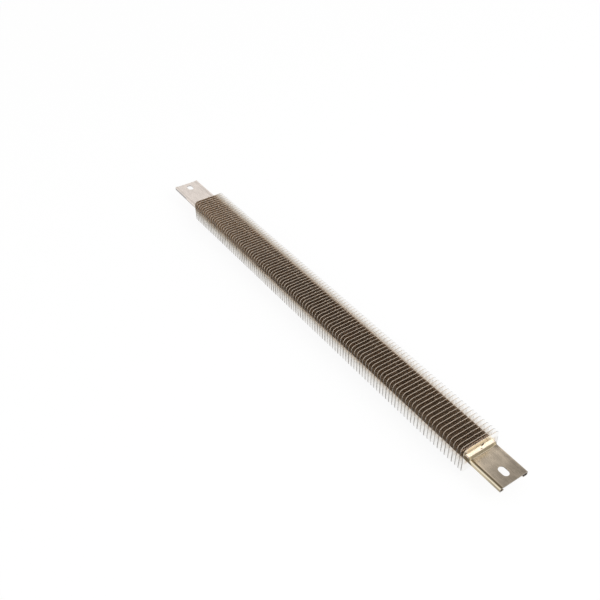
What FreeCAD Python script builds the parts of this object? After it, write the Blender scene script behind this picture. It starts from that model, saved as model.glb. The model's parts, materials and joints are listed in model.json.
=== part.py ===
"""Finned strip heater: a flat sheathed strip with thin plate fins along it and a slotted tab at each end.

X runs along the strip, from the terminal end to the plain end, and +Z is up.
The origin is on the middle of the length, at the lower edges of the fins, on which the heater lies.
"""
import FreeCAD, Part
import math
import os

from FreeCAD import Vector

# Strip: a steel channel with its edges turned in, and a tab at each end
overall_length = 698.5
strip_width = 38.1
body_thickness = 8.0
sheet_thickness = 1.0
bend_radius = 1.2
step_height = 3.1
riser_length = 2.6
collar_length = 2.1
rim_width = 5.5
rim_rise = 0.6
rim_slope = 3.5
plain_bare_length = 46.5
terminal_bare_length = 79.0

# Mounting slots in the tabs
slot_width = 7.9
slot_length = 12.7
slot_from_end = 13.9

# Fins: thin rounded plates, pressed over the strip, each with a nib left where it broke off its carrier.
# The last one is pushed back from even steps, and each fin behind it by a share of the one before.
fin_width = 49.0
fin_height = 34.0
fin_drop = 14.6
fin_thickness = 0.5
fin_corner_radius = 5.5
fin_spacing = 5.32
last_fin_push = 1.9
push_passed_on = 0.45
nib_width = 2.6
nib_height = 1.5
nib_off_centre = -1.0

# Backing plate that closes the underside of the channel
plate_thickness = 1.0
plate_side_clearance = 0.1
plate_past_riser = 5.0
terminal_tab_length = 38.0

# Insulation and heating element inside
mica_thickness = 0.5
ribbon_thickness = 0.3
card_thickness = 1.2
cold_sheet_thickness = 0.5
insulation_side_clearance = 1.0
core_end_clearance = 1.0
ribbon_width = 2.6
ribbon_bar_spacing = 20.0
ribbon_edge_margin = 1.5
ribbon_middle_gap = 3.0

# Terminals on the underside of the longer bare end
stud_radius = 2.4
stud_spacing = 14.0
stud_from_riser = 16.0
stud_head_radius = 4.6
stud_bottom_height = 1.0
stud_clearance = 0.1
strap_width = 7.0
strap_past_stud = 6.0
bush_sleeve_radius = 4.0
bush_flange_radius = 5.5
bush_flange_height = 2.5
bush_clearance = 0.1
washer_radius = 5.0
washer_thickness = 0.9
nut_across_flats = 8.0
nut_height = 3.6

# How finely round stretches are drawn on what there is much of, and how far a cutter reaches past its cut
fin_corner_sides = 3
small_round_sides = 24
cut_past = 1.0

# Heights and stations that follow from the sizes above
half_width = strip_width / 2
body_bottom = fin_drop
body_top = body_bottom + body_thickness
tab_top = body_top - step_height
tab_underside = tab_top - sheet_thickness
rim_top = tab_top + rim_rise
lip_edge = half_width - rim_width
plain_end = overall_length / 2
terminal_end = -overall_length / 2
last_fin_x = plain_end - plain_bare_length
first_fin_x = terminal_end + terminal_bare_length
even_length = last_fin_x + last_fin_push - first_fin_x
fin_gap_count = max(1, round(even_length / fin_spacing))
fin_step = even_length / fin_gap_count
body_plain_x = last_fin_x + fin_thickness / 2 + collar_length
body_terminal_x = first_fin_x - fin_thickness / 2 - collar_length
tab_plain_x = body_plain_x + riser_length
tab_terminal_x = body_terminal_x - riser_length

# Levels of the layers inside, from the turned-in lips upwards
plate_z = body_bottom + sheet_thickness
lower_sheet_z = plate_z + plate_thickness
ribbon_z = lower_sheet_z + mica_thickness
card_z = ribbon_z + ribbon_thickness
upper_sheet_z = card_z + card_thickness
pad_z = upper_sheet_z + mica_thickness
pad_top = body_top - sheet_thickness
cold_sheet_z = tab_underside - cold_sheet_thickness
plate_half_width = half_width - sheet_thickness - plate_side_clearance
core_half_width = half_width - sheet_thickness - insulation_side_clearance
plate_plain_x = tab_plain_x + plate_past_riser
plate_terminal_x = terminal_end + terminal_tab_length
core_plain_x = body_plain_x - core_end_clearance
core_terminal_x = body_terminal_x + core_end_clearance
stud_x = tab_terminal_x - stud_from_riser
stud_side = {"left": -stud_spacing / 2, "right": stud_spacing / 2}
strap_end_x = stud_x - strap_past_stud


def block(x0, x1, y0, y1, z0, z1):
    return Part.makeBox(x1 - x0, y1 - y0, z1 - z0, Vector(x0, y0, z0))


def corner_arc(centre, radius, start, turn, sides):
    """Points along an arc in the YZ plane, as (y, z); the angles are in degrees from +Y."""
    angles = [math.radians(start + turn * k / sides) for k in range(sides + 1)]
    return [(centre[0] + radius * math.cos(a), centre[1] + radius * math.sin(a)) for a in angles]


def prism(sides, radius, x, y, z0, z1):
    """An upright bar with this many equal sides, its corners on the radius."""
    turns = [2 * math.pi * k / sides for k in range(sides)]
    corners = [Vector(x + radius * math.cos(t), y + radius * math.sin(t), z0) for t in turns]
    return Part.Face(closed_wire(corners)).extrude(Vector(0, 0, z1 - z0))


def disc(radius, x, y, z0, z1):
    """A small round bar."""
    return prism(small_round_sides, radius, x, y, z0, z1)


def closed_wire(points):
    """A wire through the points; where an item is a pair, it is the middle and end of an arc."""
    edges = []
    here = points[0]
    for item in points[1:] + [points[0]]:
        if isinstance(item, tuple):
            edges.append(Part.Arc(here, item[0], item[1]).toShape())
            here = item[1]
        else:
            edges.append(Part.LineSegment(here, item).toShape())
            here = item
    return Part.Wire(edges)


def bend(x, side, level, up):
    """Where the sheet turns from a flat level into a side wall: flat end, middle and wall end."""
    r = bend_radius
    off = r * (1 - math.sqrt(0.5))
    y = side * half_width
    flat_end = Vector(x, y - side * r, level)
    middle = Vector(x, y - side * off, level - up * off)
    wall_end = Vector(x, y, level - up * r)
    return flat_end, middle, wall_end


def channel_section(x, web_level, rim_level):
    """The sheet's section: web, two rims, and the lips turned in below them."""
    low = body_bottom
    knee = lip_edge + rim_slope
    wall = half_width - sheet_thickness
    low_right = bend(x, 1, low, -1)
    top_right = bend(x, 1, rim_level, 1)
    top_left = bend(x, -1, rim_level, 1)
    low_left = bend(x, -1, low, -1)
    outside = [
        Vector(x, lip_edge, low),
        low_right[0], low_right[1:],
        top_right[2], (top_right[1], top_right[0]),
        Vector(x, knee, rim_level), Vector(x, lip_edge, web_level),
        Vector(x, -lip_edge, web_level), Vector(x, -knee, rim_level),
        top_left[0], top_left[1:],
        low_left[2], (low_left[1], low_left[0]),
        Vector(x, -lip_edge, low),
    ]
    inside = [(-lip_edge, low), (-wall, low), (-wall, rim_level - 2 * sheet_thickness),
              (-knee, rim_level - 2 * sheet_thickness), (-lip_edge, web_level - 2 * sheet_thickness)]
    lining = [Vector(x, y, z + sheet_thickness) for y, z in inside]
    mirrored = [Vector(x, -y, z + sheet_thickness) for y, z in reversed(inside)]
    return closed_wire(outside + lining + mirrored)


def slot_cutter(x):
    """An upright obround, its long way along the strip."""
    reach = (slot_length - slot_width) / 2
    z0 = tab_underside - sheet_thickness
    z1 = rim_top + sheet_thickness
    middle = block(x - reach, x + reach, -slot_width / 2, slot_width / 2, z0, z1)
    ends = [Part.makeCylinder(slot_width / 2, z1 - z0, Vector(x + side * reach, 0, z0)) for side in (-1, 1)]
    return middle.fuse(ends)


def make_sheath():
    """One folded channel: full height over the element, stepped down to a tab at each end."""
    stations = [
        (terminal_end, tab_top, rim_top),
        (tab_terminal_x, tab_top, rim_top),
        (body_terminal_x, body_top, body_top),
        (body_plain_x, body_top, body_top),
        (tab_plain_x, tab_top, rim_top),
        (plain_end, tab_top, rim_top),
    ]
    sections = [channel_section(*station) for station in stations]
    lengths = [Part.makeLoft([a, b], True, True) for a, b in zip(sections, sections[1:])]
    sheath = lengths[0].fuse(lengths[1:]).removeSplitter()
    for x in (terminal_end + slot_from_end, plain_end - slot_from_end):
        sheath = sheath.cut(slot_cutter(x))
    return sheath


def fin_outline():
    """The fin's outline as (y, z), anticlockwise from its right edge: four corners and the nib on top."""
    y = fin_width / 2 - fin_corner_radius
    low = fin_corner_radius
    high = fin_height - fin_corner_radius
    nib = [(nib_off_centre + nib_width / 2, fin_height), (nib_off_centre, fin_height + nib_height),
           (nib_off_centre - nib_width / 2, fin_height)]
    corners = [corner_arc(centre, fin_corner_radius, start, 90, fin_corner_sides)
               for centre, start in (((y, high), 0), ((-y, high), 90), ((-y, low), 180), ((y, low), 270))]
    return corners[0] + nib + corners[1] + corners[2] + corners[3]


def fin_place(i):
    return first_fin_x + i * fin_step - last_fin_push * push_passed_on ** (fin_gap_count - i)


def make_fins():
    """Rounded plates on the strip, each with the strip's own section cut out of it."""
    face = Part.Face(closed_wire([Vector(-fin_thickness / 2, y, z) for y, z in fin_outline()]))
    plate = face.extrude(Vector(fin_thickness, 0, 0))
    fin = plate.cut(block(-fin_thickness, fin_thickness, -half_width, half_width, body_bottom, body_top))
    return [fin.translated(Vector(fin_place(i), 0, 0)) for i in range(fin_gap_count + 1)]


def make_backing_plate():
    """A flat strip held on the turned-in lips, with holes for the terminal bushes."""
    plate = block(plate_terminal_x, plate_plain_x, -plate_half_width, plate_half_width,
                  plate_z, plate_z + plate_thickness)
    for y in stud_side.values():
        hole = disc(bush_sleeve_radius + bush_clearance, stud_x, y, plate_z - cut_past, lower_sheet_z + cut_past)
        plate = plate.cut(hole)
    return plate


def make_lower_sheet():
    """Mica sheet on the backing plate, under the element and its leads."""
    sheet = block(plate_terminal_x, core_plain_x, -core_half_width, core_half_width,
                  lower_sheet_z, ribbon_z)
    for y in stud_side.values():
        hole = disc(stud_radius + stud_clearance, stud_x, y, lower_sheet_z - cut_past, ribbon_z + cut_past)
        sheet = sheet.cut(hole)
    return sheet


def meander_points(y_out, y_in, x_start, x_end, bars):
    """Middle line of a ribbon that runs across the card and steps along it, bar after bar."""
    step = (x_end - x_start) / (bars - 1)
    points = []
    for i in range(bars):
        x = x_start + i * step
        first, second = (y_out, y_in) if i % 2 == 0 else (y_in, y_out)
        points += [(x, first), (x, second)]
    return points


def make_ribbon():
    """Flat resistance ribbon: out along the left of the card and back along the right."""
    half = ribbon_width / 2
    y_out = core_half_width - ribbon_edge_margin - half
    y_in = (ribbon_middle_gap + ribbon_width) / 2
    x_start = core_terminal_x + half
    x_end = core_plain_x - ribbon_edge_margin - half
    bars = 2 * max(1, round((x_end - x_start) / ribbon_bar_spacing / 2))
    left = meander_points(-y_out, -y_in, x_start, x_end, bars)
    right = [(x, -y) for x, y in reversed(left)]
    path = left + right
    bars_and_links = []
    for (xa, ya), (xb, yb) in zip(path, path[1:]):
        bars_and_links.append(block(min(xa, xb) - half, max(xa, xb) + half,
                                    min(ya, yb) - half, max(ya, yb) + half, ribbon_z, card_z))
    return bars_and_links[0].fuse(bars_and_links[1:]).removeSplitter()


def make_strap(y):
    """Flat lead from a terminal stud to its end of the ribbon."""
    strap = block(strap_end_x, core_terminal_x, y - strap_width / 2, y + strap_width / 2, ribbon_z, card_z)
    return strap.cut(disc(stud_radius + stud_clearance, stud_x, y, ribbon_z - cut_past, card_z + cut_past))


def make_stud(y):
    """Terminal stud: a flat head on the strap, and a shank down through sheet, bush and nuts."""
    head = disc(stud_head_radius, stud_x, y, card_z, cold_sheet_z)
    shank = disc(stud_radius, stud_x, y, stud_bottom_height, card_z)
    return head.fuse(shank).removeSplitter()


def make_bush(y):
    """Ceramic shoulder bush: a sleeve in the backing plate and a flange below it."""
    sleeve = disc(bush_sleeve_radius, stud_x, y, plate_z, lower_sheet_z)
    flange = disc(bush_flange_radius, stud_x, y, plate_z - bush_flange_height, plate_z)
    hole = disc(stud_radius + stud_clearance, stud_x, y,
                plate_z - bush_flange_height - cut_past, lower_sheet_z + cut_past)
    return sleeve.fuse(flange).removeSplitter().cut(hole)


def make_washer(y, top):
    """Plain washer on the stud, its upper face at this level."""
    low = top - washer_thickness
    ring = disc(washer_radius, stud_x, y, low, top)
    return ring.cut(disc(stud_radius + stud_clearance, stud_x, y, low - cut_past, top + cut_past))


def make_nut(y, top):
    """Hexagon nut on the stud, its bore at the stud's own radius."""
    low = top - nut_height
    body = prism(6, nut_across_flats / math.sqrt(3), stud_x, y, low, top)
    return body.cut(disc(stud_radius, stud_x, y, low - cut_past, top + cut_past))


def save(name, *solids):
    shape = solids[0] if len(solids) == 1 else Part.makeCompound(list(solids))
    shape.exportStep("parts/" + name + ".step")


def main():
    os.makedirs("parts", exist_ok=True)
    core = (core_terminal_x, core_plain_x, -core_half_width, core_half_width)
    save("sheath", make_sheath())
    save("fins", *make_fins())
    save("backing_plate", make_backing_plate())
    save("lower_mica_sheet", make_lower_sheet())
    save("element_ribbon", make_ribbon())
    save("element_card", block(*core, card_z, upper_sheet_z))
    save("upper_mica_sheet", block(*core, upper_sheet_z, pad_z))
    save("packed_insulation", block(*core, pad_z, pad_top))
    save("cold_end_sheet", block(plate_terminal_x, tab_terminal_x, -lip_edge, lip_edge,
                                 cold_sheet_z, tab_underside))

    bush_washer_top = plate_z - bush_flange_height
    fixing_nut_top = bush_washer_top - washer_thickness
    wire_washer_top = fixing_nut_top - nut_height
    wire_nut_top = wire_washer_top - washer_thickness
    for side, y in stud_side.items():
        save("lead_strap_" + side, make_strap(y))
        save("terminal_stud_" + side, make_stud(y))
        save("terminal_bush_" + side, make_bush(y))
        save("bush_washer_" + side, make_washer(y, bush_washer_top))
        save("fixing_nut_" + side, make_nut(y, fixing_nut_top))
        save("wire_washer_" + side, make_washer(y, wire_washer_top))
        save("wire_nut_" + side, make_nut(y, wire_nut_top))


main()
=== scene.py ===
"""Finned strip heater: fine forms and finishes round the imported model, with a floor, a lamp and a camera."""

import json
import math
import random
from functools import partialmethod
from types import SimpleNamespace

import bmesh
import bpy
from bpy.props import FloatProperty, FloatVectorProperty, IntProperty, PointerProperty
from mathutils import Matrix, Vector


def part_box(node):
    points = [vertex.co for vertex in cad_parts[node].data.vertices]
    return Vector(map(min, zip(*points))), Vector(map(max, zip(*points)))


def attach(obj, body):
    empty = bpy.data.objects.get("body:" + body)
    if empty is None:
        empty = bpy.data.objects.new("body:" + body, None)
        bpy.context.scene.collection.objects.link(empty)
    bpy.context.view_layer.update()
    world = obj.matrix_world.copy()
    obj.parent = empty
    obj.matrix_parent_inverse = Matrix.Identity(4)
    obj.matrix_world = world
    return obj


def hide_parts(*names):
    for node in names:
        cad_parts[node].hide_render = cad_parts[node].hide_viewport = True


bl_info = {
    "name": "Finned Strip Heater",
    "version": (1, 0, 0),
    "blender": (4, 5, 0),
    "location": "3D View > Sidebar > Heater",
    "description": "Dresses the packed strip heater with fine forms, finishes, a floor, a lamp and a camera",
    "category": "Object",
}

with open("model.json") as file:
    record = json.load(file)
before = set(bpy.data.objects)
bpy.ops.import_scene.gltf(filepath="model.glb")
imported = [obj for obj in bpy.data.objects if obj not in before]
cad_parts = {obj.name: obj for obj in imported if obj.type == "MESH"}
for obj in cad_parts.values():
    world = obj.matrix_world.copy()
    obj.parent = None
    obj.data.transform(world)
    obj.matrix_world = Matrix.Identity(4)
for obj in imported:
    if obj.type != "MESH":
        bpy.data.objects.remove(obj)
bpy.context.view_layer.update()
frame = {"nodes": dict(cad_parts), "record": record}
MM = 0.001

WEB_CELLS = 12
SLOPE_CELLS = 8
BEND_CELLS = 6
ROLL_CELLS = 4
SLOT_CELLS = 12
RISER_CELLS = 24
BODY_CELLS = 24
CORNER_CELLS = 10
SOFT_CELLS = 3
THREAD_CELLS = 5
THREAD_SIDES = 30
HEX_SIDES = 72
RING_SIDES = 48
SHEET_CREASE = 50
FIN_CREASE = 60
TURNED_CREASE = 40
SLOT_MARGIN = 3.5
SLOT_FLAT = 1.5
CLOSE = 0.05


def corner_values(node):
    """Lowest and highest corner of a CAD node, in millimetres."""
    low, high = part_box(node)
    return low / MM, high / MM


SHEATH_LOW, SHEATH_HIGH = corner_values("sheath")
FINS_LOW, FINS_HIGH = corner_values("fins")


def mount(name):
    """One of the record's mounts."""
    return next(m for m in frame["record"]["mounts"] if m["name"] == name)


def length(name, description, millimetres, least=0.0):
    """A length property, given in millimetres and kept in metres."""
    return FloatProperty(name=name, description=description, subtype="DISTANCE", precision=5,
                         default=millimetres * MM, min=least * MM)


def angle(name, description, degrees):
    """An angle property, given in degrees and kept in radians."""
    return FloatProperty(name=name, description=description, subtype="ANGLE", default=math.radians(degrees))


def colour(name, description, *values):
    """A colour property, given as red, green and blue."""
    return FloatVectorProperty(name=name, description=description, subtype="COLOR", default=values)


class SheathSizes(bpy.types.PropertyGroup):
    """Folded strip."""
    sheet: length("Sheet", "Thickness of the folded steel", 1.0, 0.1)
    bend: length("Bend", "Outer radius of the long folds", 1.2, 0.1)
    rim: length("Rim", "Width of each raised rim and turned-in lip", 5.5)
    rise: length("Rise", "Height of a rim above the tab's web", 0.6)
    slope: length("Slope", "Width of the dished slope inside a rim", 3.5)
    step: length("Step", "Drop from the strip's top to the tab's web", 3.1)
    riser: length("Riser", "Length of the sloped step", 2.6)
    ease: length("Ease", "How far the step's two bends are eased", 0.5)
    slot_roll: length("Slot roll", "Rounding of the punched slot's edge", 0.3)
    cut_round: length("Cut round", "Rounding of the sheared ends", 0.15)


class FinSizes(bpy.types.PropertyGroup):
    """Fins, and the marks on them."""
    thickness: length("Thickness", "Thickness of one fin", 0.5, 0.1)
    corner: length("Corner", "Radius of a fin's corners", 5.5, 0.5)
    edge: length("Edge", "Rounding of a fin's sheared edge", 0.12, 0.01)
    hole_corner: length("Hole corner", "Radius of the hole's corners", 1.0)
    nib_width: length("Nib width", "Width of the nib on top", 2.6)
    nib_height: length("Nib height", "Greatest height of the nib", 1.5)
    nib_offset: length("Nib offset", "Where the nib stands, from the middle", -1.0, -15.0)
    # Place and size of a dark slanting mark on the last fin's outer face.
    scale_y: length("Scale place", "Across the strip, of the flake of scale on the last fin", 2.2, -15.0)
    mark_z: length("Scale height", "Height of the flake's middle", 26.1)
    scale_length: length("Scale length", "Length of the flake", 4.6, 0.1)
    mark_width: length("Scale width", "Width of the flake", 3.2, 0.1)
    # Depth of the painted highlight band below a fin's top.
    highlight_depth: length("Burnish", "Depth of the scuffed band below a fin's top", 0.8)
    unevenness: length("Unevenness", "How far a fin's top may lean", 0.15)
    seed: IntProperty(name="Seed", description="Start of the random draws", default=7)


class TerminalSizes(bpy.types.PropertyGroup):
    """Studs, nuts, washers and bushes."""
    stud: length("Stud", "Radius over the thread", 2.4)
    pitch: length("Pitch", "Pitch of the thread", 0.8, 0.1)
    head: length("Head", "Radius of the stud's flat head", 4.6)
    flats: length("Flats", "Width of a nut across its flats", 8.0)
    bore: length("Bore", "Bore radius of washers and bushes", 2.5)
    sleeve: length("Sleeve", "Radius of a bush's sleeve", 4.0)
    flange: length("Flange", "Height of a bush's flange", 2.5)
    soften: length("Soften", "Rounding of washer and bush edges", 0.2)


class Finishes(bpy.types.PropertyGroup):
    """Colours of the bare materials, and of the light and shade painted on them."""
    strip_steel: colour("Strip steel", "Brushed steel of the plain tab", 0.71, 0.60, 0.465)
    cool_steel: colour("Cool steel", "Brushed steel of the terminal tab", 0.78, 0.70, 0.64)
    straw: colour("Straw", "Steel tinted by heat beside the fins", 0.75, 0.665, 0.60)
    # Painted highlight along the top of the left rim.
    rim_highlight: colour("Bright rim", "Burnished top of the left rim", 0.95, 0.85, 0.64)
    # Painted shade in the dish beside the left rim.
    slope_shade: colour("Dark slope", "Tint in the dish beside the left rim", 0.17, 0.13, 0.075)
    # Painted shade on the side walls: a darker copy of the steel, darker still at the foot, past the backing
    # plate and where the strip leaves the fins.
    shaded_wall_steel: colour("Wall steel", "Side walls of the strip and tabs", 0.56, 0.48, 0.34)
    wall_fin_shade: colour("Olive wall", "Side walls where the strip leaves the fins", 0.16, 0.125, 0.075)
    wall_foot_shade: colour("Brown wall", "Foot of the terminal tab's side walls", 0.24, 0.18, 0.13)
    wall_end_shade: colour("Bare wall", "Side walls past the backing plate", 0.37, 0.345, 0.33)
    temper: colour("Temper", "Darker tint on the step down to a tab", 0.28, 0.23, 0.15)
    # Heat oxide plus painted shade in the deep gaps between the fins.
    oxide_and_gap_shade: colour("Scorched", "Steel between the fins", 0.17, 0.115, 0.07)
    fin_steel: colour("Fin steel", "Bright rolled fins", 0.95, 0.94, 0.925)
    # Heat tint plus painted shade where the fins meet the strip.
    fin_tint_and_shade: colour("Fin tint", "Fins where they meet the hot strip", 0.66, 0.53, 0.42)
    far_tint: colour("Far tint", "The same tint where the terminal end ran cooler", 0.93, 0.84, 0.75)
    side_tint: colour("Side tint", "Fins level with the strip, beside it", 0.74, 0.69, 0.62)
    # Painted reflection of the strip, warm tinted, on the last fin's outer face.
    strip_reflection_tint: colour("Outer face", "Outer face of the last fin at the plain end", 0.96, 0.88, 0.71)
    # Painted highlight on fin edges that face up; painted shade on edges that face sideways or down, along the
    # fins' sides and on the strip's sheared faces.
    edge_highlight: colour("Upper edge", "Sheared edges that face up", 0.78, 0.68, 0.57)
    edge_shade: colour("Side edge", "Sheared edges that face sideways or down", 0.16, 0.15, 0.14)


class StageSizes(bpy.types.PropertyGroup):
    """Camera, lamp and floor."""
    camera_place: FloatVectorProperty(name="Camera", description="Where the camera stands",
                                      subtype="TRANSLATION", default=(0.60969, -0.41151, 0.61114))
    camera_turn: angle("Turn", "Way the camera looks, from +X", 147.06)
    camera_dip: angle("Dip", "How far it looks down", 39.067)
    camera_roll: angle("Roll", "How far it is rolled", -1.439)
    lens: FloatProperty(name="Lens", description="Focal length", unit="CAMERA", default=44.242)
    sensor: FloatProperty(name="Sensor", description="Width of the sensor", unit="CAMERA", default=36.0)
    floor_reach: length("Floor", "Radius of the floor", 9000.0)
    lamp_side: length("Lamp", "Side of the large square lamp", 1300.0)
    key: FloatProperty(name="Key", description="Brightness of the lamp's face", min=0.0, default=1.9)
    sky: FloatProperty(name="Sky", description="Level of the light from all round", min=0.0, default=0.72)


def settings(name):
    """The values of a property group, its lengths in millimetres."""
    group = getattr(bpy.context.scene, "heater_" + name)
    values = {}
    for label in type(group).__annotations__:
        value = getattr(group, label)
        in_metres = group.bl_rna.properties[label].subtype == "DISTANCE"
        values[label] = value / MM if in_metres else value
    return SimpleNamespace(**values)


def new_object(name, data):
    """A new object in the scene."""
    item = bpy.data.objects.new(name, data)
    bpy.context.scene.collection.objects.link(item)
    return item


def mesh_object(name, vertices, faces):
    """A new object from points in millimetres and faces."""
    mesh = bpy.data.meshes.new(name)
    mesh.from_pydata([Vector(v) * MM for v in vertices], [], faces)
    mesh.validate()
    return new_object(name, mesh)


def shade(piece, sharp_angle):
    """Smooth faces with edges kept sharp above the angle, and normals led by the large faces."""
    mesh = piece.data
    work = bmesh.new()
    work.from_mesh(mesh)
    bmesh.ops.recalc_face_normals(work, faces=work.faces)
    work.to_mesh(mesh)
    work.free()
    mesh.shade_smooth()
    mesh.set_sharp_from_angle(angle=math.radians(sharp_angle))
    weighted = piece.modifiers.new("led_normals", "WEIGHTED_NORMAL")
    weighted.keep_sharp = True


def stands_for(piece, node, material):
    """The piece takes a CAD node's place, finish and body."""
    piece.data.materials.append(material)
    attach(piece, "root")
    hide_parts(node)


def finish_node(node, material):
    """A CAD node whose shape is right gets its finish."""
    item = frame["nodes"][node]
    if not item.material_slots:
        item.data.materials.append(material)
    for place in item.material_slots:
        place.link = "OBJECT"
        place.material = material


def arc(centre, radius, start, end, count):
    """Points along an arc from one angle to another, in degrees, both ends included."""
    turns = [math.radians(start + (end - start) * k / count) for k in range(count + 1)]
    return [(centre[0] + radius * math.cos(t), centre[1] + radius * math.sin(t)) for t in turns]


def rounded_box(low, high, radius, cells, after_first=()):
    """A rectangle's outline with round corners, anticlockwise; more points may follow the first corner."""
    left, right = low[0] + radius, high[0] - radius
    under, over = low[1] + radius, high[1] - radius
    points = arc((right, over), radius, 0, 90, cells) + list(after_first)
    for centre, start in (((left, over), 90), ((left, under), 180), ((right, under), 270)):
        points += arc(centre, radius, start, start + 90, cells)
    return points


def rolled(radius):
    """Steps round a sheared edge, as pairs of how far in from the edge and how far down they lie."""
    turns = [math.radians(90 * k / ROLL_CELLS) for k in range(ROLL_CELLS + 1)]
    return [(radius * (1 - math.sin(t)), radius * (1 - math.cos(t))) for t in turns]


def ease_between(t):
    return t * t * (3 - 2 * t)


def ramp_area(x, run):
    """Area under a ramp that climbs from 0 to 1 over its run."""
    if x <= 0:
        return 0
    if x < run:
        return x * x / (2 * run)
    return x - run / 2


def add_row(vertices, points):
    """Add points to a mesh's vertices and give their numbers."""
    vertices += points
    return list(range(len(vertices) - len(points), len(vertices)))


def band(first, second):
    """The four corners of each face between two closed rows of points."""
    return list(zip(first, first[1:] + first[:1], second[1:] + second[:1], second))


def sheet_profile(sizes, web, rim):
    """Half of the folded sheet as pairs of an outer and an inner point, from the middle to the lip's tip."""
    low = SHEATH_LOW.z
    half = SHEATH_HIGH.y
    t = sizes.sheet
    flat = half - sizes.rim
    knee = flat + sizes.slope
    pairs = []
    for k in range(WEB_CELLS // 2 + 1):
        y = flat * k / (WEB_CELLS // 2)
        pairs.append(((y, web), (y, web - t)))
    for k in range(1, SLOPE_CELLS + 1):
        y = flat + (knee - flat) * k / SLOPE_CELLS
        z = web + (rim - web) * ease_between(k / SLOPE_CELLS)
        pairs.append(((y, z), (y, z - t)))
    radii = sizes.bend, sizes.bend - t
    for z, start in ((rim - sizes.bend, 90), (low + sizes.bend, 0)):
        centre = half - sizes.bend, z
        pairs += zip(*(arc(centre, radius, start, start - 90, BEND_CELLS) for radius in radii))
    for inset, shy in rolled(sizes.cut_round):
        pairs.append(((flat + inset, low + shy), (flat + inset, low + t - shy)))
    return pairs


def sheet_ring(sizes, x, web, rim, shy):
    """The section at one station, the outer side and then the inner one back; shy draws in a cut end."""
    share = shy / sizes.sheet
    outer, inner = [], []
    for (ya, za), (yb, zb) in sheet_profile(sizes, web, rim):
        outer.append((ya + (yb - ya) * share, za + (zb - za) * share))
        inner.append((yb + (ya - yb) * share, zb + (za - zb) * share))

    def both_sides(line):
        return [(x, -y, z) for y, z in reversed(line[1:])] + [(x, y, z) for y, z in line]

    return both_sides(outer) + both_sides(inner)[::-1]


def obround(centre_x, offset, count, sizes):
    """Points evenly along the slot's outline, grown by the offset, anticlockwise from its far end."""
    radius = sizes["radius"] + offset
    reach = sizes["length"] / 2 - sizes["radius"]
    quarter = math.pi * radius / 2
    around = 4 * (quarter + reach)
    points = []
    for k in range(count):
        s = around * k / count
        corner = int(s // (quarter + reach))
        s -= corner * (quarter + reach)
        if corner % 2:
            s = quarter + reach - s
        turn = min(s, quarter) / radius
        x = reach + radius * math.cos(turn) - max(0, s - quarter)
        y = radius * math.sin(turn)
        if corner in (1, 2):
            x = -x
        if corner in (2, 3):
            y = -y
        points.append((centre_x + x, y))
    return points


def sheath_stations(sizes, slot_xs, slot_half, body):
    """Stations along the strip as (x, share of the step, draw-in at a cut end)."""
    spread = sizes.ease

    def dropped(x):
        past = max(x - body[1], body[0] - x)
        area = ramp_area(past + spread, sizes.riser) - ramp_area(past - spread, sizes.riser)
        return area / (2 * spread)

    stops = set()
    for k in range(RISER_CELLS + 1):
        past = -spread + (sizes.riser + 2 * spread) * k / RISER_CELLS
        stops |= {round(body[1] + past, 4), round(body[0] - past, 4)}
    for centre in slot_xs:
        stops |= {round(centre + slot_half * (2 * k / SLOT_CELLS - 1), 4) for k in range(SLOT_CELLS + 1)}
    stops |= {round(body[0] + (body[1] - body[0]) * k / BODY_CELLS, 4) for k in range(2, BODY_CELLS - 1)}
    stations = [(x, dropped(x), 0) for x in sorted(stops)]
    rounding = rolled(sizes.cut_round)
    first = [(SHEATH_LOW.x + inset, 1, shy) for inset, shy in reversed(rounding)]
    last = [(SHEATH_HIGH.x - inset, 1, shy) for inset, shy in rounding]
    return first + stations + last


def body_reach():
    """Where the full-height part of the strip begins and ends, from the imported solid."""
    top = SHEATH_HIGH.z - CLOSE
    xs = [v.co.x / MM for v in frame["nodes"]["sheath"].data.vertices if v.co.z / MM > top]
    return min(xs), max(xs)


def build_sheath():
    """The folded strip with dished rims, eased bends and punched slots."""
    sizes = settings("sheath")
    dims = mount("mounting_slots")["dims"]
    slot = {"radius": dims["hole_r_mm"], "length": dims["slot_length_mm"]}
    slot_xs = (-dims["spacing_x_mm"] / 2, dims["spacing_x_mm"] / 2)
    slot_half = slot["length"] / 2 + SLOT_MARGIN
    top = SHEATH_HIGH.z
    stations = sheath_stations(sizes, slot_xs, slot_half, body_reach())
    vertices, faces, rings = [], [], []
    for x, share, shy in stations:
        web = top - sizes.step * share
        rim = top - (sizes.step - sizes.rise) * share
        rings.append(add_row(vertices, sheet_ring(sizes, x, web, rim, shy)))
    across = len(rings[0]) // 2
    middle = across // 2
    web_first, web_last = middle - WEB_CELLS // 2, middle + WEB_CELLS // 2
    xs = [x for x, _, _ in stations]

    def in_slot_patch(k, j):
        centre = (xs[k] + xs[k + 1]) / 2
        near = any(abs(centre - c) < slot_half for c in slot_xs)
        return near and web_first <= j < web_last

    for k, pair in enumerate(zip(rings, rings[1:])):
        for j, corners in enumerate(band(*pair)):
            opposite = 2 * across - 2 - j
            if not in_slot_patch(k, min(j, opposite)):
                faces.append(corners)
    from_inside = [ring[::-1] for ring in rings]
    for k in (0, -1):
        outer, inner = rings[k][:across], from_inside[k][:across]
        faces += zip(outer, outer[1:], inner[1:], inner)
    web = top - sizes.step
    for centre in slot_xs:
        first = min(range(len(xs)), key=lambda k: abs(xs[k] - (centre - slot_half)))
        last = first + SLOT_CELLS
        rim_top, rim_under = (slot_patch_edge(rows, first, last, web_first, web_last)
                              for rows in (rings, from_inside))
        add_slot(vertices, faces, rim_top, rim_under, centre, web, sizes, slot)
    piece = mesh_object("folded_sheath", vertices, faces)
    shade(piece, SHEET_CREASE)
    return piece


def slot_patch_edge(rows, first, last, low, high):
    """The patch's border, anticlockwise from the middle of its far side."""
    middle = (low + high) // 2
    border = rows[last][middle:high]
    border += [row[high] for row in rows[last:first:-1]]
    border += rows[first][high:low:-1]
    border += [row[low] for row in rows[first:last]]
    return border + rows[last][low:middle]


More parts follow.
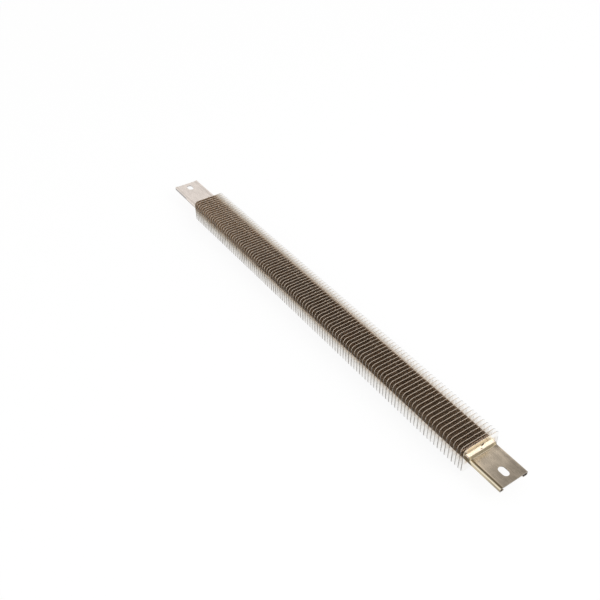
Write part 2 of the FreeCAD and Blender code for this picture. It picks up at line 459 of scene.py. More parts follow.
def add_slot(vertices, faces, rim_top, rim_under, centre, web, sizes, slot):
    """The web round a punched slot: flat, rolled over at the top, straight through, with a small burr."""
    count = len(rim_top)
    roll = sizes.slot_roll
    burr = roll / 3
    margin, burr_width = 0.2, 0.3
    loops = [(SLOT_FLAT, web), (roll + margin, web)]
    loops += [(inset, web - shy) for inset, shy in rolled(roll)]
    under = web - sizes.sheet
    loops += [(0, under + burr), (burr, under), (burr + burr_width, under), (SLOT_FLAT, under)]
    rows = [rim_top]
    for offset, z in loops:
        rows.append(add_row(vertices, [(x, y, z) for x, y in obround(centre, offset, count, slot)]))
    rows.append(rim_under)
    for upper, lower in zip(rows, rows[1:]):
        faces += band(upper, lower)


def fin_outline(sizes, nib_height, nib_lean):
    """One fin's outline as (y, z), anticlockwise from its right edge."""
    plain_top = FINS_HIGH.z - sizes.nib_height
    half = sizes.nib_width / 2
    nib = [(sizes.nib_offset + half, plain_top), (sizes.nib_offset + nib_lean, plain_top + nib_height),
           (sizes.nib_offset - half, plain_top)]
    return rounded_box((-FINS_HIGH.y, FINS_LOW.z), (FINS_HIGH.y, plain_top), sizes.corner, CORNER_CELLS, nib)


def drawn_in(points, distance):
    """The closed outline moved inwards by the distance, with a limit at sharp corners."""
    moved = []
    least_share = 0.5
    for k, (y, z) in enumerate(points):
        before, after = Vector(points[k - 1]), Vector(points[(k + 1) % len(points)])
        here = Vector((y, z))
        normals = []
        for a, b in ((before, here), (here, after)):
            along = (b - a).normalized()
            normals.append(Vector((-along.y, along.x)))
        mean = (normals[0] + normals[1]).normalized()
        share = max(least_share, mean.dot(normals[0]))
        moved.append(tuple(here + mean * distance / share))
    return moved


def fin_middles():
    """The middle of each fin along the strip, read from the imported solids, in millimetres."""
    faces = []
    for x in sorted(v.co.x / MM for v in frame["nodes"]["fins"].data.vertices):
        if not faces or x - faces[-1] > CLOSE:
            faces.append(x)
    return [(a + b) / 2 for a, b in zip(faces[::2], faces[1::2])]


def add_fin(work, x, lean, outline, hole, sizes):
    """One fin: two faces, a rounded outer edge and the hole's wall; lean tips its top along the strip."""
    half = sizes.thickness / 2
    edge = sizes.edge
    tall = FINS_HIGH.z - FINS_LOW.z

    def place(y, z, across):
        share = (z - SHEATH_HIGH.z) / tall
        return Vector((x + across + lean * share, y, z)) * MM

    inset = drawn_in(outline, edge)
    rings = []
    for points, across in ((inset, half), (outline, half - edge), (outline, edge - half), (inset, -half)):
        rings.append([work.verts.new(place(y, z, across)) for y, z in points])
    walls = [[work.verts.new(place(y, z, across)) for y, z in hole] for across in (half, -half)]
    for loops in (rings, walls):
        for first, second in zip(loops, loops[1:]):
            for corners in band(first, second):
                work.faces.new(corners if loops is walls else corners[::-1])
    for pair in ((rings[0], walls[0]), (rings[-1], walls[-1])):
        edges = [work.edges.get(ends) for loop in pair for ends in zip(loop, loop[1:] + loop[:1])]
        bmesh.ops.triangle_fill(work, use_beauty=True, use_dissolve=False, edges=edges)


def build_fins():
    """The whole row of fins, each a little out of line and with its own nib."""
    sizes = settings("fins")
    draw = random.Random(sizes.seed)
    hole = rounded_box(SHEATH_LOW.yz, SHEATH_HIGH.yz, sizes.hole_corner, SOFT_CELLS)
    work = bmesh.new()
    lowest_nib, nib_left, nib_right = 0.45, -0.1, 0.9
    for x in fin_middles():
        nib_height = sizes.nib_height * draw.uniform(lowest_nib, 1)
        nib_lean = draw.uniform(nib_left, nib_right)
        lean = draw.uniform(-1, 1) * sizes.unevenness
        add_fin(work, x, lean, fin_outline(sizes, nib_height, nib_lean), hole, sizes)
    mesh = bpy.data.meshes.new("fin_row")
    work.to_mesh(mesh)
    work.free()
    piece = new_object("fin_row", mesh)
    shade(piece, FIN_CREASE)
    return piece


def lathe(name, profile, sides, centre, closed, radius_at=None):
    """A piece turned about an upright axis; radius_at may change a radius by height and angle."""
    vertices, faces = [], []
    for r, z in profile:
        for k in range(sides):
            turn = 2 * math.pi * k / sides
            here = radius_at(r, z, turn) if radius_at else r
            vertices.append((centre[0] + here * math.cos(turn), centre[1] + here * math.sin(turn), z))
    rows = [list(range(k * sides, (k + 1) * sides)) for k in range(len(profile))]
    for lower, upper in zip(rows, rows[1:]):
        faces += band(lower, upper)
    faces += band(rows[-1], rows[0]) if closed else [rows[0], rows[-1][::-1]]
    return mesh_object(name, vertices, faces)


def node_place(node):
    """Lowest and highest corner of a CAD node and its middle in plan."""
    low, high = corner_values(node)
    return low, high, ((low.x + high.x) / 2, (low.y + high.y) / 2)


def build_stud(side):
    """A stud with a flat head on the strap and a cut thread below."""
    sizes = settings("terminals")
    low, high, centre = node_place("terminal_stud_" + side)
    head_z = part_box("element_card")[0].z / MM
    depth_share, crest, lead = 0.6, 0.9, 0.7
    depth = depth_share * sizes.pitch
    rows = int((head_z - low.z) / (sizes.pitch / THREAD_CELLS))
    profile = [(sizes.stud, low.z + (head_z - low.z) * k / rows) for k in range(rows + 1)]
    round_edge = (high.z - head_z) / 2
    profile += arc((sizes.head - round_edge, head_z + round_edge), round_edge, -90, 90, 2 * SOFT_CELLS)

    def radius_at(r, z, turn):
        if r > sizes.stud or z > head_z - CLOSE:
            return r
        phase = (z / sizes.pitch - turn / (2 * math.pi)) % 1
        groove = depth * abs(2 * phase - 1)
        point = max(0, lead - (z - low.z))
        return max(sizes.stud - depth - point / 2, sizes.stud - crest * (groove + point))

    return lathe("threaded_stud_" + side, profile, THREAD_SIDES, centre, False, radius_at)


def build_nut(kind, side):
    """A hexagon nut, its corners cut back by the chamfers at both ends."""
    sizes = settings("terminals")
    low, high, centre = node_place(kind + "_" + side)
    apothem = sizes.flats / 2
    sixth = math.radians(60)
    corner = apothem / math.cos(sixth / 2)
    slope = math.tan(sixth)
    face_share, lead = 0.96, 0.35
    drop = (corner - apothem * face_share) / slope
    levels = [0, 0.08, 0.16, 0.25, 0.35, 0.5, 0.7]
    heights = [low.z + h for h in levels] + [high.z - h for h in reversed(levels)]
    profile = [(sizes.stud, low.z + lead), (sizes.stud + lead, low.z)]
    profile += [(corner, z) for z in heights]
    profile += [(sizes.stud + lead, high.z), (sizes.stud, high.z - lead)]

    def radius_at(r, z, turn):
        if r < corner:
            return r
        hexagon = apothem / math.cos(turn % sixth - sixth / 2)
        near_end = min(z - low.z, high.z - z)
        cone = corner - max(0, drop - near_end) * slope
        return min(hexagon, cone)

    return lathe(kind + "_hex_" + side, profile, HEX_SIDES, centre, True, radius_at)


def build_washer(kind, side):
    """A plain washer with tumbled edges."""
    sizes = settings("terminals")
    low, high, centre = node_place(kind + "_" + side)
    outer = (high.x - low.x) / 2
    section = rounded_box((sizes.bore, low.z), (outer, high.z), sizes.soften, SOFT_CELLS)
    return lathe(kind + "_ring_" + side, section, RING_SIDES, centre, True)


def build_bush(side):
    """A fired shoulder bush with softened edges."""
    sizes = settings("terminals")
    low, high, centre = node_place("terminal_bush_" + side)
    soft = 2 * sizes.soften
    outer = (high.x - low.x) / 2
    shoulder = low.z + sizes.flange
    section = arc((outer - soft, low.z + soft), soft, -90, 0, ROLL_CELLS)
    section += arc((outer - soft, shoulder - soft), soft, 0, 90, ROLL_CELLS)
    section += [(sizes.sleeve, shoulder), (sizes.sleeve, high.z), (sizes.bore, high.z)]
    section += arc((sizes.bore + sizes.soften, low.z + sizes.soften), sizes.soften, 180, 270, SOFT_CELLS)
    return lathe("ceramic_bush_" + side, section, RING_SIDES, centre, True)


class NodeWriter:
    """Writes shader nodes into one tree; the methods for numbers and colours give an output to link on."""

    def __init__(self, tree):
        self.tree = tree

    def put(self, socket, value):
        """Link an output to a socket, or set the socket to a plain number or colour."""
        if isinstance(value, bpy.types.NodeSocket):
            self.tree.links.new(value, socket)
        elif socket.type == "RGBA":
            socket.default_value = (*value[:3], 1)
        else:
            socket.default_value = value

    def add(self, kind, inputs=(), **options):
        """A node with its options set and its inputs put in, given as (name or number, value) pairs."""
        node = self.tree.nodes.new(kind)
        for name, value in options.items():
            setattr(node, name, value)
        for name, value in inputs:
            self.put(node.inputs[name], value)
        return node

    def group(self, name, **inputs):
        """The outputs of a node group placed in the tree; an underscore in an input's name is a space."""
        node = self.tree.nodes.new("ShaderNodeGroup")
        node.node_tree = bpy.data.node_groups[name]
        for label, value in inputs.items():
            self.put(node.inputs[label.replace("_", " ")], value)
        return node.outputs

    def calculate(self, operation, first, *others):
        """The result of a Math node, or of a row of them where there are more than two values."""
        if not others:
            return self.add("ShaderNodeMath", ((0, first),), operation=operation).outputs[0]
        for value in others:
            first = self.add("ShaderNodeMath", ((0, first), (1, value)), operation=operation).outputs[0]
        return first

    plus = partialmethod(calculate, "ADD")
    minus = partialmethod(calculate, "SUBTRACT")
    times = partialmethod(calculate, "MULTIPLY")
    over = partialmethod(calculate, "DIVIDE")
    most = partialmethod(calculate, "MAXIMUM")
    size = partialmethod(calculate, "ABSOLUTE")

    def diagonal(self, first, second):
        """The long side of a right triangle."""
        return self.calculate("SQRT", self.plus(self.times(first, first), self.times(second, second)))

    def span(self, value, from_low, from_high, to_low=0.0, to_high=1.0):
        """The value carried from one range to another, clamped and eased."""
        limits = ((0, value), (1, from_low), (2, from_high), (3, to_low), (4, to_high))
        return self.add("ShaderNodeMapRange", limits, interpolation_type="SMOOTHSTEP").outputs[0]

    def vary(self, mask, low, high):
        """A number that goes from low to high as a mask goes from 0 to 1."""
        return self.span(mask, 0.0, 1.0, low, high)

    def blend(self, share, first, second, blend_type="MIX"):
        """Two colours mixed; share 0 gives the first."""
        colours = ((0, share), (6, first), (7, second))
        return self.add("ShaderNodeMix", colours, data_type="RGBA", blend_type=blend_type).outputs[2]

    def split(self, vector):
        """The three parts of a vector."""
        return self.add("ShaderNodeSeparateXYZ", ((0, vector),)).outputs

    def noise(self, place, scale, detail):
        inputs = (("Vector", place), ("Scale", scale), ("Detail", detail))
        return self.add("ShaderNodeTexNoise", inputs).outputs[0]

    def facing(self):
        """The way a surface faces on the piece, as x, y and z."""
        return self.split(self.add("ShaderNodeTexCoord").outputs["Normal"])


def new_group(name, outputs, **numbers):
    """An empty node group that takes a place and numbers; an underscore in a number's name is a space."""
    tree = bpy.data.node_groups.new(name, "ShaderNodeTree")
    new_socket = tree.interface.new_socket
    new_socket(name="Place", in_out="INPUT", socket_type="NodeSocketVector")
    for label, default in numbers.items():
        socket = new_socket(name=label.replace("_", " "), in_out="INPUT", socket_type="NodeSocketFloat")
        socket.default_value = default
    for label in outputs:
        new_socket(name=label, in_out="OUTPUT", socket_type="NodeSocketFloat")
    given = tree.nodes.new("NodeGroupInput")
    out = tree.nodes.new("NodeGroupOutput")
    return NodeWriter(tree), given.outputs, out.inputs


def make_grain_group():
    """Fine lines drawn along the strip, as a height and as a mask."""
    nodes, given, out = new_group("drawn_grain", ("Height", "Streak"), Along=0.05, Across=4.0)
    x, y, z = nodes.split(given["Place"])
    parts = nodes.times(x, given["Along"]), nodes.times(y, given["Across"]), nodes.times(z, given["Across"])
    spot = nodes.add("ShaderNodeCombineXYZ", enumerate(parts)).outputs[0]
    noise = nodes.noise(spot, 1.0, 4.0)
    nodes.put(out["Height"], nodes.minus(noise, 0.5))
    nodes.put(out["Streak"], nodes.span(noise, 0.35, 0.65))


def make_mottle_group():
    """Soft cloudy patches, and fine specks."""
    nodes, given, out = new_group("mottle", ("Cloud", "Speck"), Size=8.0, Speck_Size=0.8)
    for size, output, low, high in (("Size", "Cloud", 0.3, 0.7), ("Speck Size", "Speck", 0.6, 0.75)):
        noise = nodes.noise(given["Place"], nodes.over(1.0, given[size]), 3.0)
        nodes.put(out[output], nodes.span(noise, low, high))


def make_finned_length_group():
    """How far a point lies beyond the finned length, in millimetres; negative between the fins."""
    nodes, given, out = new_group("beyond_fins", ("Beyond",), First=-285.0, Last=285.0)
    x = nodes.split(given["Place"])[0]
    nodes.put(out["Beyond"], nodes.most(nodes.minus(given["First"], x), nodes.minus(x, given["Last"])))


def new_material(name, metallic, roughness):
    """A Principled material as itself, its node writer, its shader's inputs and the place in millimetres."""
    material = bpy.data.materials.new(name)
    material.use_nodes = True
    nodes = NodeWriter(material.node_tree)
    shader = material.node_tree.nodes["Principled BSDF"].inputs
    nodes.put(shader["Metallic"], metallic)
    nodes.put(shader["Roughness"], roughness)
    metres = nodes.add("ShaderNodeTexCoord").outputs["Object"]
    place = nodes.add("ShaderNodeVectorMath", ((0, metres), ("Scale", 1 / MM)), operation="SCALE").outputs[0]
    return material, nodes, shader, place


def set_bump(nodes, shader, height, distance, strength):
    """A bump of the given depth in millimetres."""
    inputs = (("Height", height), ("Distance", distance * MM), ("Strength", strength))
    nodes.put(shader["Normal"], nodes.add("ShaderNodeBump", inputs).outputs[0])


def scaled(tone, share):
    """A colour times a number."""
    return [part * share for part in tone]


def wall_tones_and_shade(nodes, looks, sizes, places, steel, plain_end, foot):
    """The strip's side walls: the steel's own tone above the foot at the far end, and painted shade elsewhere:
    a darker copy of the steel at the plain end, brown at the foot, grey past the plate, olive beside the fins
    and darker towards the plain tab's tip.
    """
    x, z, past = places
    span, blend = nodes.span, nodes.blend
    foot_shade_top, foot_shade_fade, plate_fade, fin_shade_end, fin_shade_fade = 2.0, 0.2, 0.5, 0.5, 1.0
    plate_end = corner_values("backing_plate")[0].x
    rim_level = SHEATH_HIGH.z - sizes.step + sizes.rise
    foot_shade_line = SHEATH_LOW.z + foot_shade_top
    at_foot = span(z, foot_shade_line + foot_shade_fade, foot_shade_line - foot_shade_fade)
    wall = blend(plain_end, blend(at_foot, steel, looks.wall_foot_shade), looks.shaded_wall_steel)
    wall = blend(span(x, plate_end - plate_fade, plate_end + plate_fade), looks.wall_end_shade, wall)
    slant = nodes.plus(past, nodes.minus(z, rim_level))
    wall = blend(span(slant, foot - fin_shade_end - fin_shade_fade, foot - fin_shade_end), looks.wall_fin_shade, wall)
    shade_start, shade_end, shade_depth, shade_share = 20.0, 5.0, 0.45, 0.3
    shaded = span(x, FINS_HIGH.x + shade_start, SHEATH_HIGH.x - shade_end, 0.0, shade_depth)
    return blend(shaded, wall, scaled(looks.shaded_wall_steel, shade_share))


def sheath_material():
    """Brushed steel: straw and dark temper beside the fins, heat oxide and painted shade between them, painted
    shade on the tabs, the dish, the side walls and the sheared faces, and a painted highlight on the left rim.
    """
    looks, sizes = settings("finishes"), settings("sheath")
    material, nodes, shader, place = new_material("drawn_strip_steel", 1.0, 0.26)
    span, blend, times = nodes.span, nodes.blend, nodes.times
    x, y, z = nodes.split(place)
    face_x, _, face_z = nodes.facing()
    grain = nodes.group("drawn_grain", Place=place, Along=0.06, Across=3.2)
    cloud = nodes.group("mottle", Place=place, Size=9.0)["Cloud"]
    past = nodes.group("beyond_fins", Place=place, First=FINS_LOW.x, Last=FINS_HIGH.x)["Beyond"]
    half = SHEATH_HIGH.y
    collar = body_reach()[1] - FINS_HIGH.x
    foot = collar + sizes.riser
    plain_end = span(x, -1.0, 1.0)

    # Painted shade on the tabs: darker towards the plain tab's tip and just past the step's foot, times the
    # real mottle and brushing streaks.
    tip_start, tip_shade, foot_reach, foot_shade = 6.0, 0.58, 8.0, 0.38
    patches, streaks = (0.93, 1.07), (1.08, 0.9)
    dim = times(span(x, FINS_HIGH.x + tip_start, SHEATH_HIGH.x, 1.0, tip_shade),
                span(past, foot, foot + foot_reach, foot_shade, 1.0),
                nodes.vary(cloud, *patches), nodes.vary(grain["Streak"], *streaks))
    grey = nodes.add("ShaderNodeCombineColor", ((0, dim), (1, dim), (2, dim))).outputs[0]
    steel = blend(span(x, 0.0, FINS_HIGH.x), looks.cool_steel, looks.strip_steel)
    base = blend(1.0, steel, grey, "MULTIPLY")

    # Painted shade on the dished slope inside the left rim, faint at the far end.
    dish = sizes.rim - sizes.slope - half
    crown, crown_fade, far_dish, deep_share, full_share = 1.0, 0.4, 0.15, 0.35, 0.6
    slope_shade_mask = times(span(y, dish - crown, dish - crown + crown_fade),
                    span(y, dish + sizes.slope * full_share, dish + sizes.slope * deep_share),
                    nodes.vary(plain_end, far_dish, 1.0))
    base = blend(slope_shade_mask, base, looks.slope_shade)
    # Painted highlight on the left rim's top at the plain end.
    base = blend(times(span(y, dish - crown + crown_fade, dish - crown), plain_end), base, looks.rim_highlight)

    temper_fade, straw_end, wall_fade = 0.4, 0.2, 0.3
    base = blend(span(past, foot - temper_fade, foot), looks.temper, base)
    base = blend(span(past, collar - straw_end / 2, collar + straw_end), looks.straw, base)
    rim_level = SHEATH_HIGH.z - sizes.step + sizes.rise
    below_top = nodes.minus(span(past, collar, foot, SHEATH_HIGH.z, rim_level), z)
    round_end = half - 0.2
    on_wall = times(span(below_top, sizes.bend * 0.6, sizes.bend * 1.2),
                    span(nodes.size(y), round_end - wall_fade, round_end))
    # The side walls take their own tones and painted shade.
    base = blend(on_wall, base, wall_tones_and_shade(nodes, looks, sizes, (x, z, past), steel, plain_end, foot))

    # Heat oxide and painted shade between the fins, with lighter painted copies on the right side and towards
    # the far end.
    right_light, far_light, lift_start, gap_end, gap_fade = 2.0, 2.4, 14.0, 0.3, 1.2
    clean = span(past, -gap_end - gap_fade, -gap_end)
    oxide_and_shade = blend(span(y, lift_start, half), looks.oxide_and_gap_shade, scaled(looks.oxide_and_gap_shade, right_light))
    oxide_and_shade = blend(span(x, 0.0, FINS_LOW.x), oxide_and_shade, scaled(looks.oxide_and_gap_shade, far_light))
    base = blend(clean, oxide_and_shade, base)
    oxide_metal, oxide_rough, brushed = 0.2, 0.6, (0.22, 0.34)
    nodes.put(shader["Metallic"], nodes.vary(clean, oxide_metal, 1.0))
    rough = nodes.most(nodes.vary(cloud, *brushed), nodes.vary(clean, oxide_rough, 0.0))
    nodes.put(shader["Roughness"], rough)

    # Painted shade on the sheared end faces and the slot walls.
    tab_start, slot_reach, cut_shade_share = 30.0, 5.0, 1.8
    end_face = times(span(nodes.size(face_x), 0.5, 0.9), span(past, tab_start, tab_start + 1))
    slot_wall = times(span(nodes.size(face_z), 0.7, 0.3), span(nodes.size(y), slot_reach + 1, slot_reach))
    base = blend(nodes.most(end_face, slot_wall), base, scaled(looks.edge_shade, cut_shade_share))
    nodes.put(shader["Base Color"], base)
    set_bump(nodes, shader, times(grain["Height"], span(past, -1.0, 0.0)), 0.05, 0.35)
    return material


def dark_mark_mask(nodes, y, z, sizes):
    """1 on a slanting dark mark."""
    aside, above = nodes.minus(y, sizes.scale_y), nodes.minus(z, sizes.mark_z)
    along = nodes.over(nodes.plus(aside, above), sizes.scale_length)
    across = nodes.over(nodes.minus(aside, above), sizes.mark_width)
    return nodes.span(nodes.plus(nodes.times(along, along), nodes.times(across, across)), 0.7, 0.4)


def inside_outline(nodes, y, z, sizes):
    """How far a point lies inside a fin's upper outline; below the upper corners it counts as deep inside."""
    past_side = nodes.most(nodes.minus(nodes.size(y), FINS_HIGH.y - sizes.corner), 0.0)
    past_top = nodes.most(nodes.minus(z, FINS_HIGH.z - sizes.nib_height - sizes.corner), 0.0)
    deep = nodes.times(nodes.calculate("LESS_THAN", past_top, 0.01), 100.0)
    return nodes.plus(nodes.minus(sizes.corner, nodes.diagonal(past_side, past_top)), deep)


def fin_material():
    """Bright rolled sheet, tinted by heat and darkened by painted shade where it meets the strip, dull along
    its sheared edge, with painted highlights and shade on its edges and sides and a painted reflection of the
    strip on the last fin.
    """
    looks, sizes = settings("finishes"), settings("fins")
    material, nodes, shader, place = new_material("bright_fin_steel", 1.0, 0.12)
    span, blend, times = nodes.span, nodes.blend, nodes.times
    x, y, z = nodes.split(place)
    face_x, _, face_z = nodes.facing()
    cloud = nodes.group("mottle", Place=place, Size=7.0)["Cloud"]
    past = nodes.group("beyond_fins", Place=place, First=FINS_LOW.x, Last=FINS_HIGH.x)["Beyond"]
    raised = nodes.minus(z, SHEATH_HIGH.z)
    sideways = nodes.most(nodes.minus(nodes.size(y), SHEATH_HIGH.y), 0.0)
    upright = nodes.most(raised, nodes.minus(SHEATH_LOW.z, z), 0.0)

    # Heat tint plus painted shade near the strip, lighter towards the far end and beside the strip.
    cooler_from, side_fade, tint_reach = 60.0, 0.6, 6.0
    tint = blend(span(x, cooler_from, FINS_LOW.x), looks.fin_tint_and_shade, looks.far_tint)
    tint = blend(span(sideways, 0.0, side_fade), tint, looks.side_tint)
    base = blend(span(nodes.diagonal(upright, sideways), 0.0, tint_reach), tint, looks.fin_steel)

    # Painted reflection of the strip on the last fin's outer face, bounded by the strip's mirrored line.
    dark_mark_share, mirror_slant = 0.5, 0.73
    last_face = FINS_HIGH.x - 0.4
    # A dark slanting mark on the last fin's outer face.
    dark_mark = times(dark_mark_mask(nodes, y, z, sizes), span(x, last_face, last_face + 0.1))
    slanted = nodes.plus(y, times(raised, mirror_slant))
    strip_reflection = times(span(x, last_face, last_face + 0.2), span(y, -SHEATH_HIGH.y - 1.0, 0.4 - SHEATH_HIGH.y),
                    span(slanted, SHEATH_HIGH.y + 0.8, SHEATH_HIGH.y), span(raised, -0.5, 0.0))
    base = blend(strip_reflection, base, blend(dark_mark, looks.strip_reflection_tint, scaled(looks.oxide_and_gap_shade, dark_mark_share)))
    nodes.put(shader["Metallic"], nodes.vary(dark_mark, 1.0, 0.1))

    # Painted shade along the fins' side edges, from the foot to a little above the strip, made patchy.
    patch_size, patch_stretch, faintest, side_shade_share = 5.0, 0.3, 0.4, 2.4
    outer_limit, inner_limit, side_top = 0.7, 1.2, 3.0
    spot = nodes.add("ShaderNodeCombineXYZ", ((0, x), (2, times(z, patch_stretch)))).outputs[0]
    patchiness = nodes.group("mottle", Place=spot, Size=patch_size)["Cloud"]
    side = times(span(nodes.size(y), FINS_HIGH.y - inner_limit, FINS_HIGH.y - outer_limit),
                 span(raised, side_top, 0.0), nodes.vary(patchiness, faintest, 1.0))
    base = blend(side, base, scaled(looks.edge_shade, side_shade_share))

    # Painted highlight in a band below the fins' tops on the left part, and edges painted lit or shaded by the
    # way they face.
    right_fade, full_highlight = 1.5, 0.6
    left_part = nodes.vary(span(y, SHEATH_HIGH.y, SHEATH_HIGH.y + right_fade), 1.0, 0.0)
    inside = inside_outline(nodes, y, z, sizes)
    top_highlight = times(span(inside, sizes.highlight_depth, sizes.highlight_depth * full_highlight), left_part)
    base = blend(top_highlight, base, looks.edge_highlight)
    edge = blend(times(span(face_z, 0.1, 0.8), left_part), looks.edge_shade, looks.edge_highlight)
    flat = span(nodes.size(face_x), 0.45, 0.85)
    nodes.put(shader["Base Color"], blend(flat, edge, base))

    rolled_rough, end_share, edge_rough = (0.13, 0.2), 0.4, 0.35
    top_highlight_rough, strip_reflection_rough, dark_mark_rough = 0.6, 0.25, 0.7
    rough = times(nodes.vary(cloud, *rolled_rough), span(past, -0.4, -0.2, 1.0, end_share))
    rough = nodes.plus(rough, nodes.vary(flat, edge_rough, 0.0))
    rough = nodes.most(rough, times(top_highlight, top_highlight_rough), times(strip_reflection, strip_reflection_rough),
                       times(dark_mark, dark_mark_rough))
    nodes.put(shader["Roughness"], rough)
    set_bump(nodes, shader, cloud, 0.06, 0.02)
    return material


def rolled_steel_material(name, tone, roughness, along):
    """Mill finish steel with faint rolling lines."""
    material, nodes, shader, place = new_material(name, 1.0, roughness)
    grain = nodes.group("drawn_grain", Place=place, Along=along, Across=2.5)
    cloud = nodes.group("mottle", Place=place, Size=5.0)["Cloud"]
    nodes.put(shader["Base Color"], nodes.blend(grain["Streak"], tone, scaled(tone, 0.8)))
    nodes.put(shader["Roughness"], nodes.vary(cloud, roughness - 0.06, roughness + 0.1))
    set_bump(nodes, shader, grain["Height"], 0.03, 0.3)
    return material


# Metallic; roughness or its range; clouds' size and tones; specks' size and tone; the bump's source,
# depth and strength
MOTTLED = {
    "pressed_mica": (0.0, (0.42,), (3.0, (0.62, 0.53, 0.36), (0.78, 0.72, 0.58)),
                     (1.2, (0.88, 0.84, 0.72)), ("Cloud", 0.05, 0.3)),
    "refractory_board": (0.0, (0.9,), (4.0, (0.74, 0.72, 0.66), (0.84, 0.82, 0.77)),
                         (0.6, (0.6, 0.58, 0.53)), ("Speck", 0.1, 0.4)),
    "fired_ceramic": (0.0, (0.5,), (2.5, (0.84, 0.82, 0.76), (0.9, 0.88, 0.83)),
                      (0.25, (0.72, 0.68, 0.6)), ("Speck", 0.03, 0.4)),
    "dull_zinc_plate": (1.0, (0.26, 0.42), (1.6, (0.62, 0.63, 0.62), (0.7, 0.69, 0.64)),
                        (0.3, None), ("Speck", 0.02, 0.3)),
}


def mottled_material(name):
    """One of the cloudy finishes listed above."""
    metallic, rough, (size, dark, pale), (speck_size, speck), (source, depth, strength) = MOTTLED[name]
    material, nodes, shader, place = new_material(name, metallic, rough[0])
    mottle = nodes.group("mottle", Place=place, Size=size, Speck_Size=speck_size)
    base = nodes.blend(mottle["Cloud"], dark, pale)
    if speck:
        base = nodes.blend(mottle["Speck"], base, speck)
    nodes.put(shader["Base Color"], base)
    if len(rough) > 1:
        nodes.put(shader["Roughness"], nodes.vary(mottle["Cloud"], *rough))
    set_bump(nodes, shader, mottle[source], depth, strength)
    return material


def floor_material():
    """White floor that keeps the object's shadow where the camera or polished metal sees it."""
    material = bpy.data.materials.new("white_floor")
    material.use_nodes = True
    nodes = NodeWriter(material.node_tree)
    nodes.tree.nodes.clear()
    lit = nodes.add("ShaderNodeBsdfDiffuse", (("Color", (0.8, 0.8, 0.8)),))
    shadow = nodes.add("ShaderNodeBsdfDiffuse", (("Color", (0.14, 0.14, 0.14)),))
    glow = nodes.add("ShaderNodeEmission", (("Color", (1, 1, 1)), ("Strength", 0.885)))
    white = nodes.add("ShaderNodeAddShader", ((0, shadow.outputs[0]), (1, glow.outputs[0])))
    path = nodes.add("ShaderNodeLightPath").outputs
    seen = nodes.most(path["Is Camera Ray"], path["Is Glossy Ray"], path["Is Transmission Ray"])
    mix = nodes.add("ShaderNodeMixShader", ((0, seen), (1, lit.outputs[0]), (2, white.outputs[0])))
    nodes.add("ShaderNodeOutputMaterial", ((0, mix.outputs[0]),))
    return material


def set_world(sky):
    """Even light from all round; polished metal sees a pale backdrop that greys towards the ceiling."""
    world = bpy.data.worlds.new("studio")
    bpy.context.scene.world = world
    world.use_nodes = True
    nodes = NodeWriter(world.node_tree)
    nodes.tree.nodes.clear()
    height = nodes.split(nodes.add("ShaderNodeTexCoord").outputs["Generated"])[2]
    backdrop = nodes.blend(nodes.span(height, 0.45, 0.9), (1, 1, 1), (0.53, 0.53, 0.54))
    looks = ((backdrop, 1.0), ((1, 1, 1), sky), ((1, 1, 1), 1.0))
    mirrored, even, direct = (nodes.add("ShaderNodeBackground", enumerate(look)).outputs[0] for look in looks)
    path = nodes.add("ShaderNodeLightPath").outputs
    polished = nodes.most(path["Is Glossy Ray"], path["Is Transmission Ray"])
    lit = nodes.add("ShaderNodeMixShader", ((0, polished), (1, even), (2, mirrored))).outputs[0]
    last = nodes.add("ShaderNodeMixShader", ((0, path["Is Camera Ray"]), (1, lit), (2, direct))).outputs[0]
    nodes.add("ShaderNodeOutputWorld", ((0, last),))


def add_lamp(name, place, aim, side, brightness):
    """A square soft lamp with the given brightness over its face."""
    light = bpy.data.lights.new(name, "AREA")
    light.shape = "SQUARE"
    light.size = side
    light.energy = brightness * math.pi * side * side
    lamp = new_object(name, light)
    lamp.location = place
    lamp.rotation_euler = (Vector(aim) - Vector(place)).to_track_quat("-Z", "Y").to_euler()


def add_camera(sizes):
    """The photograph's camera."""
    turn, dip, roll = sizes.camera_turn, sizes.camera_dip, sizes.camera_roll
    ahead = Vector((math.cos(turn) * math.cos(dip), math.sin(turn) * math.cos(dip), -math.sin(dip)))
    level = Vector((math.sin(turn), -math.cos(turn), 0))
    above = level.cross(ahead)
    right = math.cos(roll) * level + math.sin(roll) * above
    up = math.cos(roll) * above - math.sin(roll) * level
    data = bpy.data.cameras.new("camera")
    data.sensor_width = sizes.sensor
    data.lens = sizes.lens
    camera = new_object("camera", data)
    turned = Matrix((right, up, -ahead)).transposed().to_4x4()
    camera.matrix_world = Matrix.Translation(Vector(sizes.camera_place)) @ turned
    bpy.context.scene.camera = camera


class HEATER_OT_sheath(bpy.types.Operator):
    """Fold the strip's sheath with its tabs, rims and slots"""
    bl_idname = "heater.sheath"
    bl_label = "Sheath"

    def execute(self, context):
        stands_for(build_sheath(), "sheath", sheath_material())
        return {"FINISHED"}


class HEATER_OT_fins(bpy.types.Operator):
    """Set the row of fins on the strip"""
    bl_idname = "heater.fins"
    bl_label = "Fins"

    def execute(self, context):
        stands_for(build_fins(), "fins", fin_material())
        return {"FINISHED"}


class HEATER_OT_terminals(bpy.types.Operator):
    """Fit the studs, bushes, washers and nuts of both terminals"""
    bl_idname = "heater.terminals"
    bl_label = "Terminals"

    def execute(self, context):
        plated = mottled_material("dull_zinc_plate")
        fired = mottled_material("fired_ceramic")
        for side in ("left", "right"):
            fitted = [(build_stud(side), "terminal_stud", plated), (build_bush(side), "terminal_bush", fired)]
            fitted += [(build_washer(kind, side), kind, plated) for kind in ("bush_washer", "wire_washer")]
            fitted += [(build_nut(kind, side), kind, plated) for kind in ("fixing_nut", "wire_nut")]
            for piece, node, material in fitted:
                shade(piece, TURNED_CREASE)
                stands_for(piece, node + "_" + side, material)
        return {"FINISHED"}


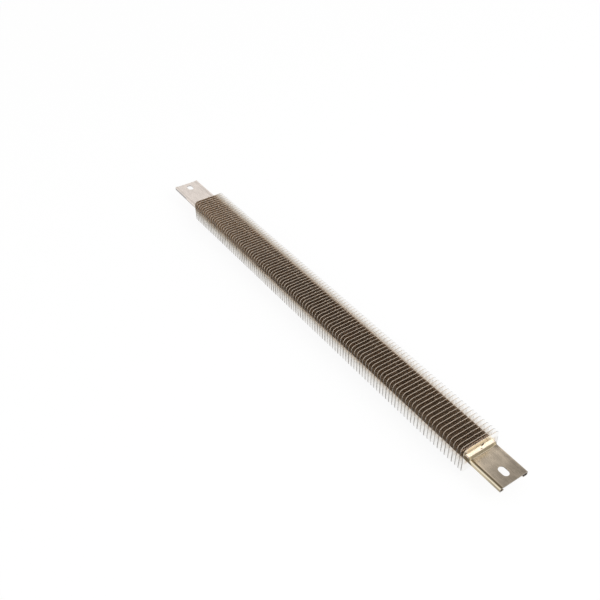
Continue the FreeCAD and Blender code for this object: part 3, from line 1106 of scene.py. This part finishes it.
class HEATER_OT_element(bpy.types.Operator):
    """Finish the backing plate and what the sheath holds"""
    bl_idname = "heater.element"
    bl_label = "Element"

    def execute(self, context):
        mica = mottled_material("pressed_mica")
        nickel = rolled_steel_material("nickel_strip", (0.66, 0.62, 0.54), 0.3, 0.3)
        mill = rolled_steel_material("mill_steel", (0.46, 0.42, 0.37), 0.4, 0.05)
        ribbon = rolled_steel_material("resistance_ribbon", (0.34, 0.33, 0.32), 0.5, 0.4)
        finish_node("backing_plate", mill)
        finish_node("element_ribbon", ribbon)
        finish_node("packed_insulation", mottled_material("refractory_board"))
        for node in ("lower_mica_sheet", "element_card", "upper_mica_sheet", "cold_end_sheet"):
            finish_node(node, mica)
        for side in ("left", "right"):
            finish_node("lead_strap_" + side, nickel)
        return {"FINISHED"}


class HEATER_OT_stage(bpy.types.Operator):
    """Lay the floor just below the object and set the light and the camera"""
    bl_idname = "heater.stage"
    bl_label = "Stage"

    def execute(self, context):
        sizes = settings("stage")
        drop, corners = 0.0002, 96
        bpy.ops.mesh.primitive_circle_add(vertices=corners, radius=sizes.floor_reach * MM, fill_type="NGON",
                                          location=(0, 0, -drop))
        floor = context.active_object
        floor.name = "floor"
        floor.data.materials.append(floor_material())
        set_world(sizes.sky)
        lamp_place, aim = (1.35, 0.8, 1.35), (0.1, 0, 0.02)
        add_lamp("key_lamp", lamp_place, aim, sizes.lamp_side * MM, sizes.key)
        add_camera(sizes)
        context.scene.view_settings.view_transform = "Standard"
        context.scene.cycles.glossy_bounces = 8
        return {"FINISHED"}


class HEATER_PT_panel(bpy.types.Panel):
    bl_label = "Finned Strip Heater"
    bl_idname = "HEATER_PT_panel"
    bl_space_type = "VIEW_3D"
    bl_region_type = "UI"
    bl_category = "Heater"

    def draw(self, context):
        for operator, name, group in STEPS:
            self.layout.operator(operator.bl_idname)
            if group:
                for label in group.__annotations__:
                    self.layout.prop(getattr(context.scene, "heater_" + name), label)


STEPS = (
    (HEATER_OT_sheath, "sheath", SheathSizes),
    (HEATER_OT_fins, "fins", FinSizes),
    (HEATER_OT_terminals, "terminals", TerminalSizes),
    (HEATER_OT_element, "finishes", Finishes),
    (HEATER_OT_stage, "stage", StageSizes),
)
GROUP_MAKERS = (make_grain_group, make_mottle_group, make_finned_length_group)


def register():
    for operator, name, group in STEPS:
        bpy.utils.register_class(operator)
        bpy.utils.register_class(group)
        setattr(bpy.types.Scene, "heater_" + name, PointerProperty(type=group))
    bpy.utils.register_class(HEATER_PT_panel)


def unregister():
    bpy.utils.unregister_class(HEATER_PT_panel)
    for operator, name, group in reversed(STEPS):
        delattr(bpy.types.Scene, "heater_" + name)
        bpy.utils.unregister_class(group)
        bpy.utils.unregister_class(operator)


def main():
    register()
    for make_group in GROUP_MAKERS:
        make_group()
    for operator, _, _ in STEPS:
        section, _, action = operator.bl_idname.partition(".")
        getattr(getattr(bpy.ops, section), action)()


if __name__ == "__main__":
    main()
